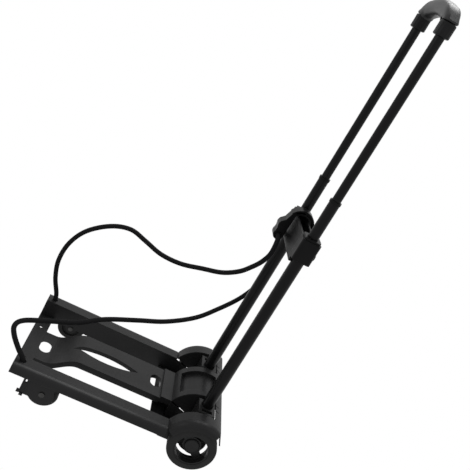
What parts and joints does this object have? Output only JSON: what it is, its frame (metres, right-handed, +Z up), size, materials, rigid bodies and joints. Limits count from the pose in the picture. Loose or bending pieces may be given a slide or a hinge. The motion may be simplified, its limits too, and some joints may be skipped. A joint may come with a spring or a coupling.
{
  "type": "folding luggage cart",
  "caption": "Folding luggage cart: open platform with a centre arm, hooded rear wheels, small front wheels, twin telescopic tubes, U grip and an elastic cord on a clamp hook.",
  "frame": {"origin": "on the floor under the middle of the cart's box, free cord left out", "axes": "+X across the cart along the wheel axle, +Y from the platform's front edge to the rear wheels and handle, +Z up along the handle tubes"},
  "size_m": [0.264, 0.4153, 0.8848],
  "materials": {
    "deck_plastic": "satin moulded",
    "tube_paint": "satin gloss",
    "tyre": "matt",
    "steel": "bright",
    "grip_gloss": "semi-gloss",
    "hook_plastic": "satin moulded",
    "cord": "braided"
  },
  "bodies": {
    "deck": {"side_rail_right": "deck_plastic", "side_rail_left": "deck_plastic", "front_plate": "deck_plastic", "centre_arm": "deck_plastic", "axle_hood": "deck_plastic", "rear_cross_plate": "deck_plastic", "front_bracket_right": "deck_plastic", "front_bracket_left": "deck_plastic", "front_wheel_pins": "steel", "axle": "steel", "axle_nuts": "steel", "axle_washers": "steel", "pivot_spacer": "steel", "cord_knot_right": "cord", "cord_knot_left": "cord", "elastic_cord": "cord"},
    "rear_wheel_right": {"rear_tyre_right": "tyre", "rear_rim_right": "deck_plastic", "hub_cap_right": "deck_plastic"},
    "rear_wheel_left": {"rear_tyre_left": "tyre", "rear_rim_left": "deck_plastic", "hub_cap_left": "deck_plastic"},
    "front_wheel_right": {"front_wheel_right": "tyre"},
    "front_wheel_left": {"front_wheel_left": "tyre"},
    "mast_lower": {"root_socket_right": "deck_plastic", "root_socket_left": "deck_plastic", "lower_tube_right": "tube_paint", "lower_tube_left": "tube_paint", "clamp_bridge": "deck_plastic", "clamp_screws": "steel", "lock_spring_right": "steel", "lock_spring_left": "steel", "cord_hook": "hook_plastic"},
    "lock_button_right": {"lock_button_right": "hook_plastic"},
    "lock_button_left": {"lock_button_left": "hook_plastic"},
    "mast_middle": {"middle_tube_right": "tube_paint", "middle_tube_left": "tube_paint", "middle_bush_right": "deck_plastic", "middle_bush_left": "deck_plastic"},
    "mast_upper": {"upper_tube_right": "tube_paint", "upper_tube_left": "tube_paint", "grip_body": "deck_plastic", "grip_cover": "grip_gloss", "grip_screws": "steel"}
  },
  "joints": [
    {"name": "handle_fold", "type": "hinge", "parent": "deck", "child": "mast_lower", "pos_m": [0, 0.148, 0.045], "axis": [1, 0, 0], "range_deg": [0, 90], "deforming": ["elastic_cord"]},
    {"name": "middle_slide", "type": "slide", "parent": "mast_lower", "child": "mast_middle", "axis": [0, 0, -1], "range_m": [0, 0.065]},
    {"name": "upper_slide", "type": "slide", "parent": "mast_middle", "child": "mast_upper", "axis": [0, 0, -1], "range_m": [0, 0.281]},
    {"name": "rear_wheel_right_spin", "type": "hinge", "parent": "deck", "child": "rear_wheel_right", "pos_m": [0.115, 0.148, 0.045], "axis": [1, 0, 0], "continuous": true},
    {"name": "rear_wheel_left_spin", "type": "hinge", "parent": "deck", "child": "rear_wheel_left", "pos_m": [-0.115, 0.148, 0.045], "axis": [1, 0, 0], "continuous": true},
    {"name": "front_wheel_right_spin", "type": "hinge", "parent": "deck", "child": "front_wheel_right", "pos_m": [0.1094, -0.127, 0.027], "axis": [1, 0, 0], "continuous": true},
    {"name": "front_wheel_left_spin", "type": "hinge", "parent": "deck", "child": "front_wheel_left", "pos_m": [-0.1094, -0.127, 0.027], "axis": [1, 0, 0], "continuous": true},
    {"name": "lock_button_right_press", "type": "slide", "parent": "mast_lower", "child": "lock_button_right", "axis": [0, -1, 0], "range_m": [0, 0.002], "stiffness_N_per_m": 400},
    {"name": "lock_button_left_press", "type": "slide", "parent": "mast_lower", "child": "lock_button_left", "axis": [0, -1, 0], "range_m": [0, 0.002], "stiffness_N_per_m": 400}
  ]
}
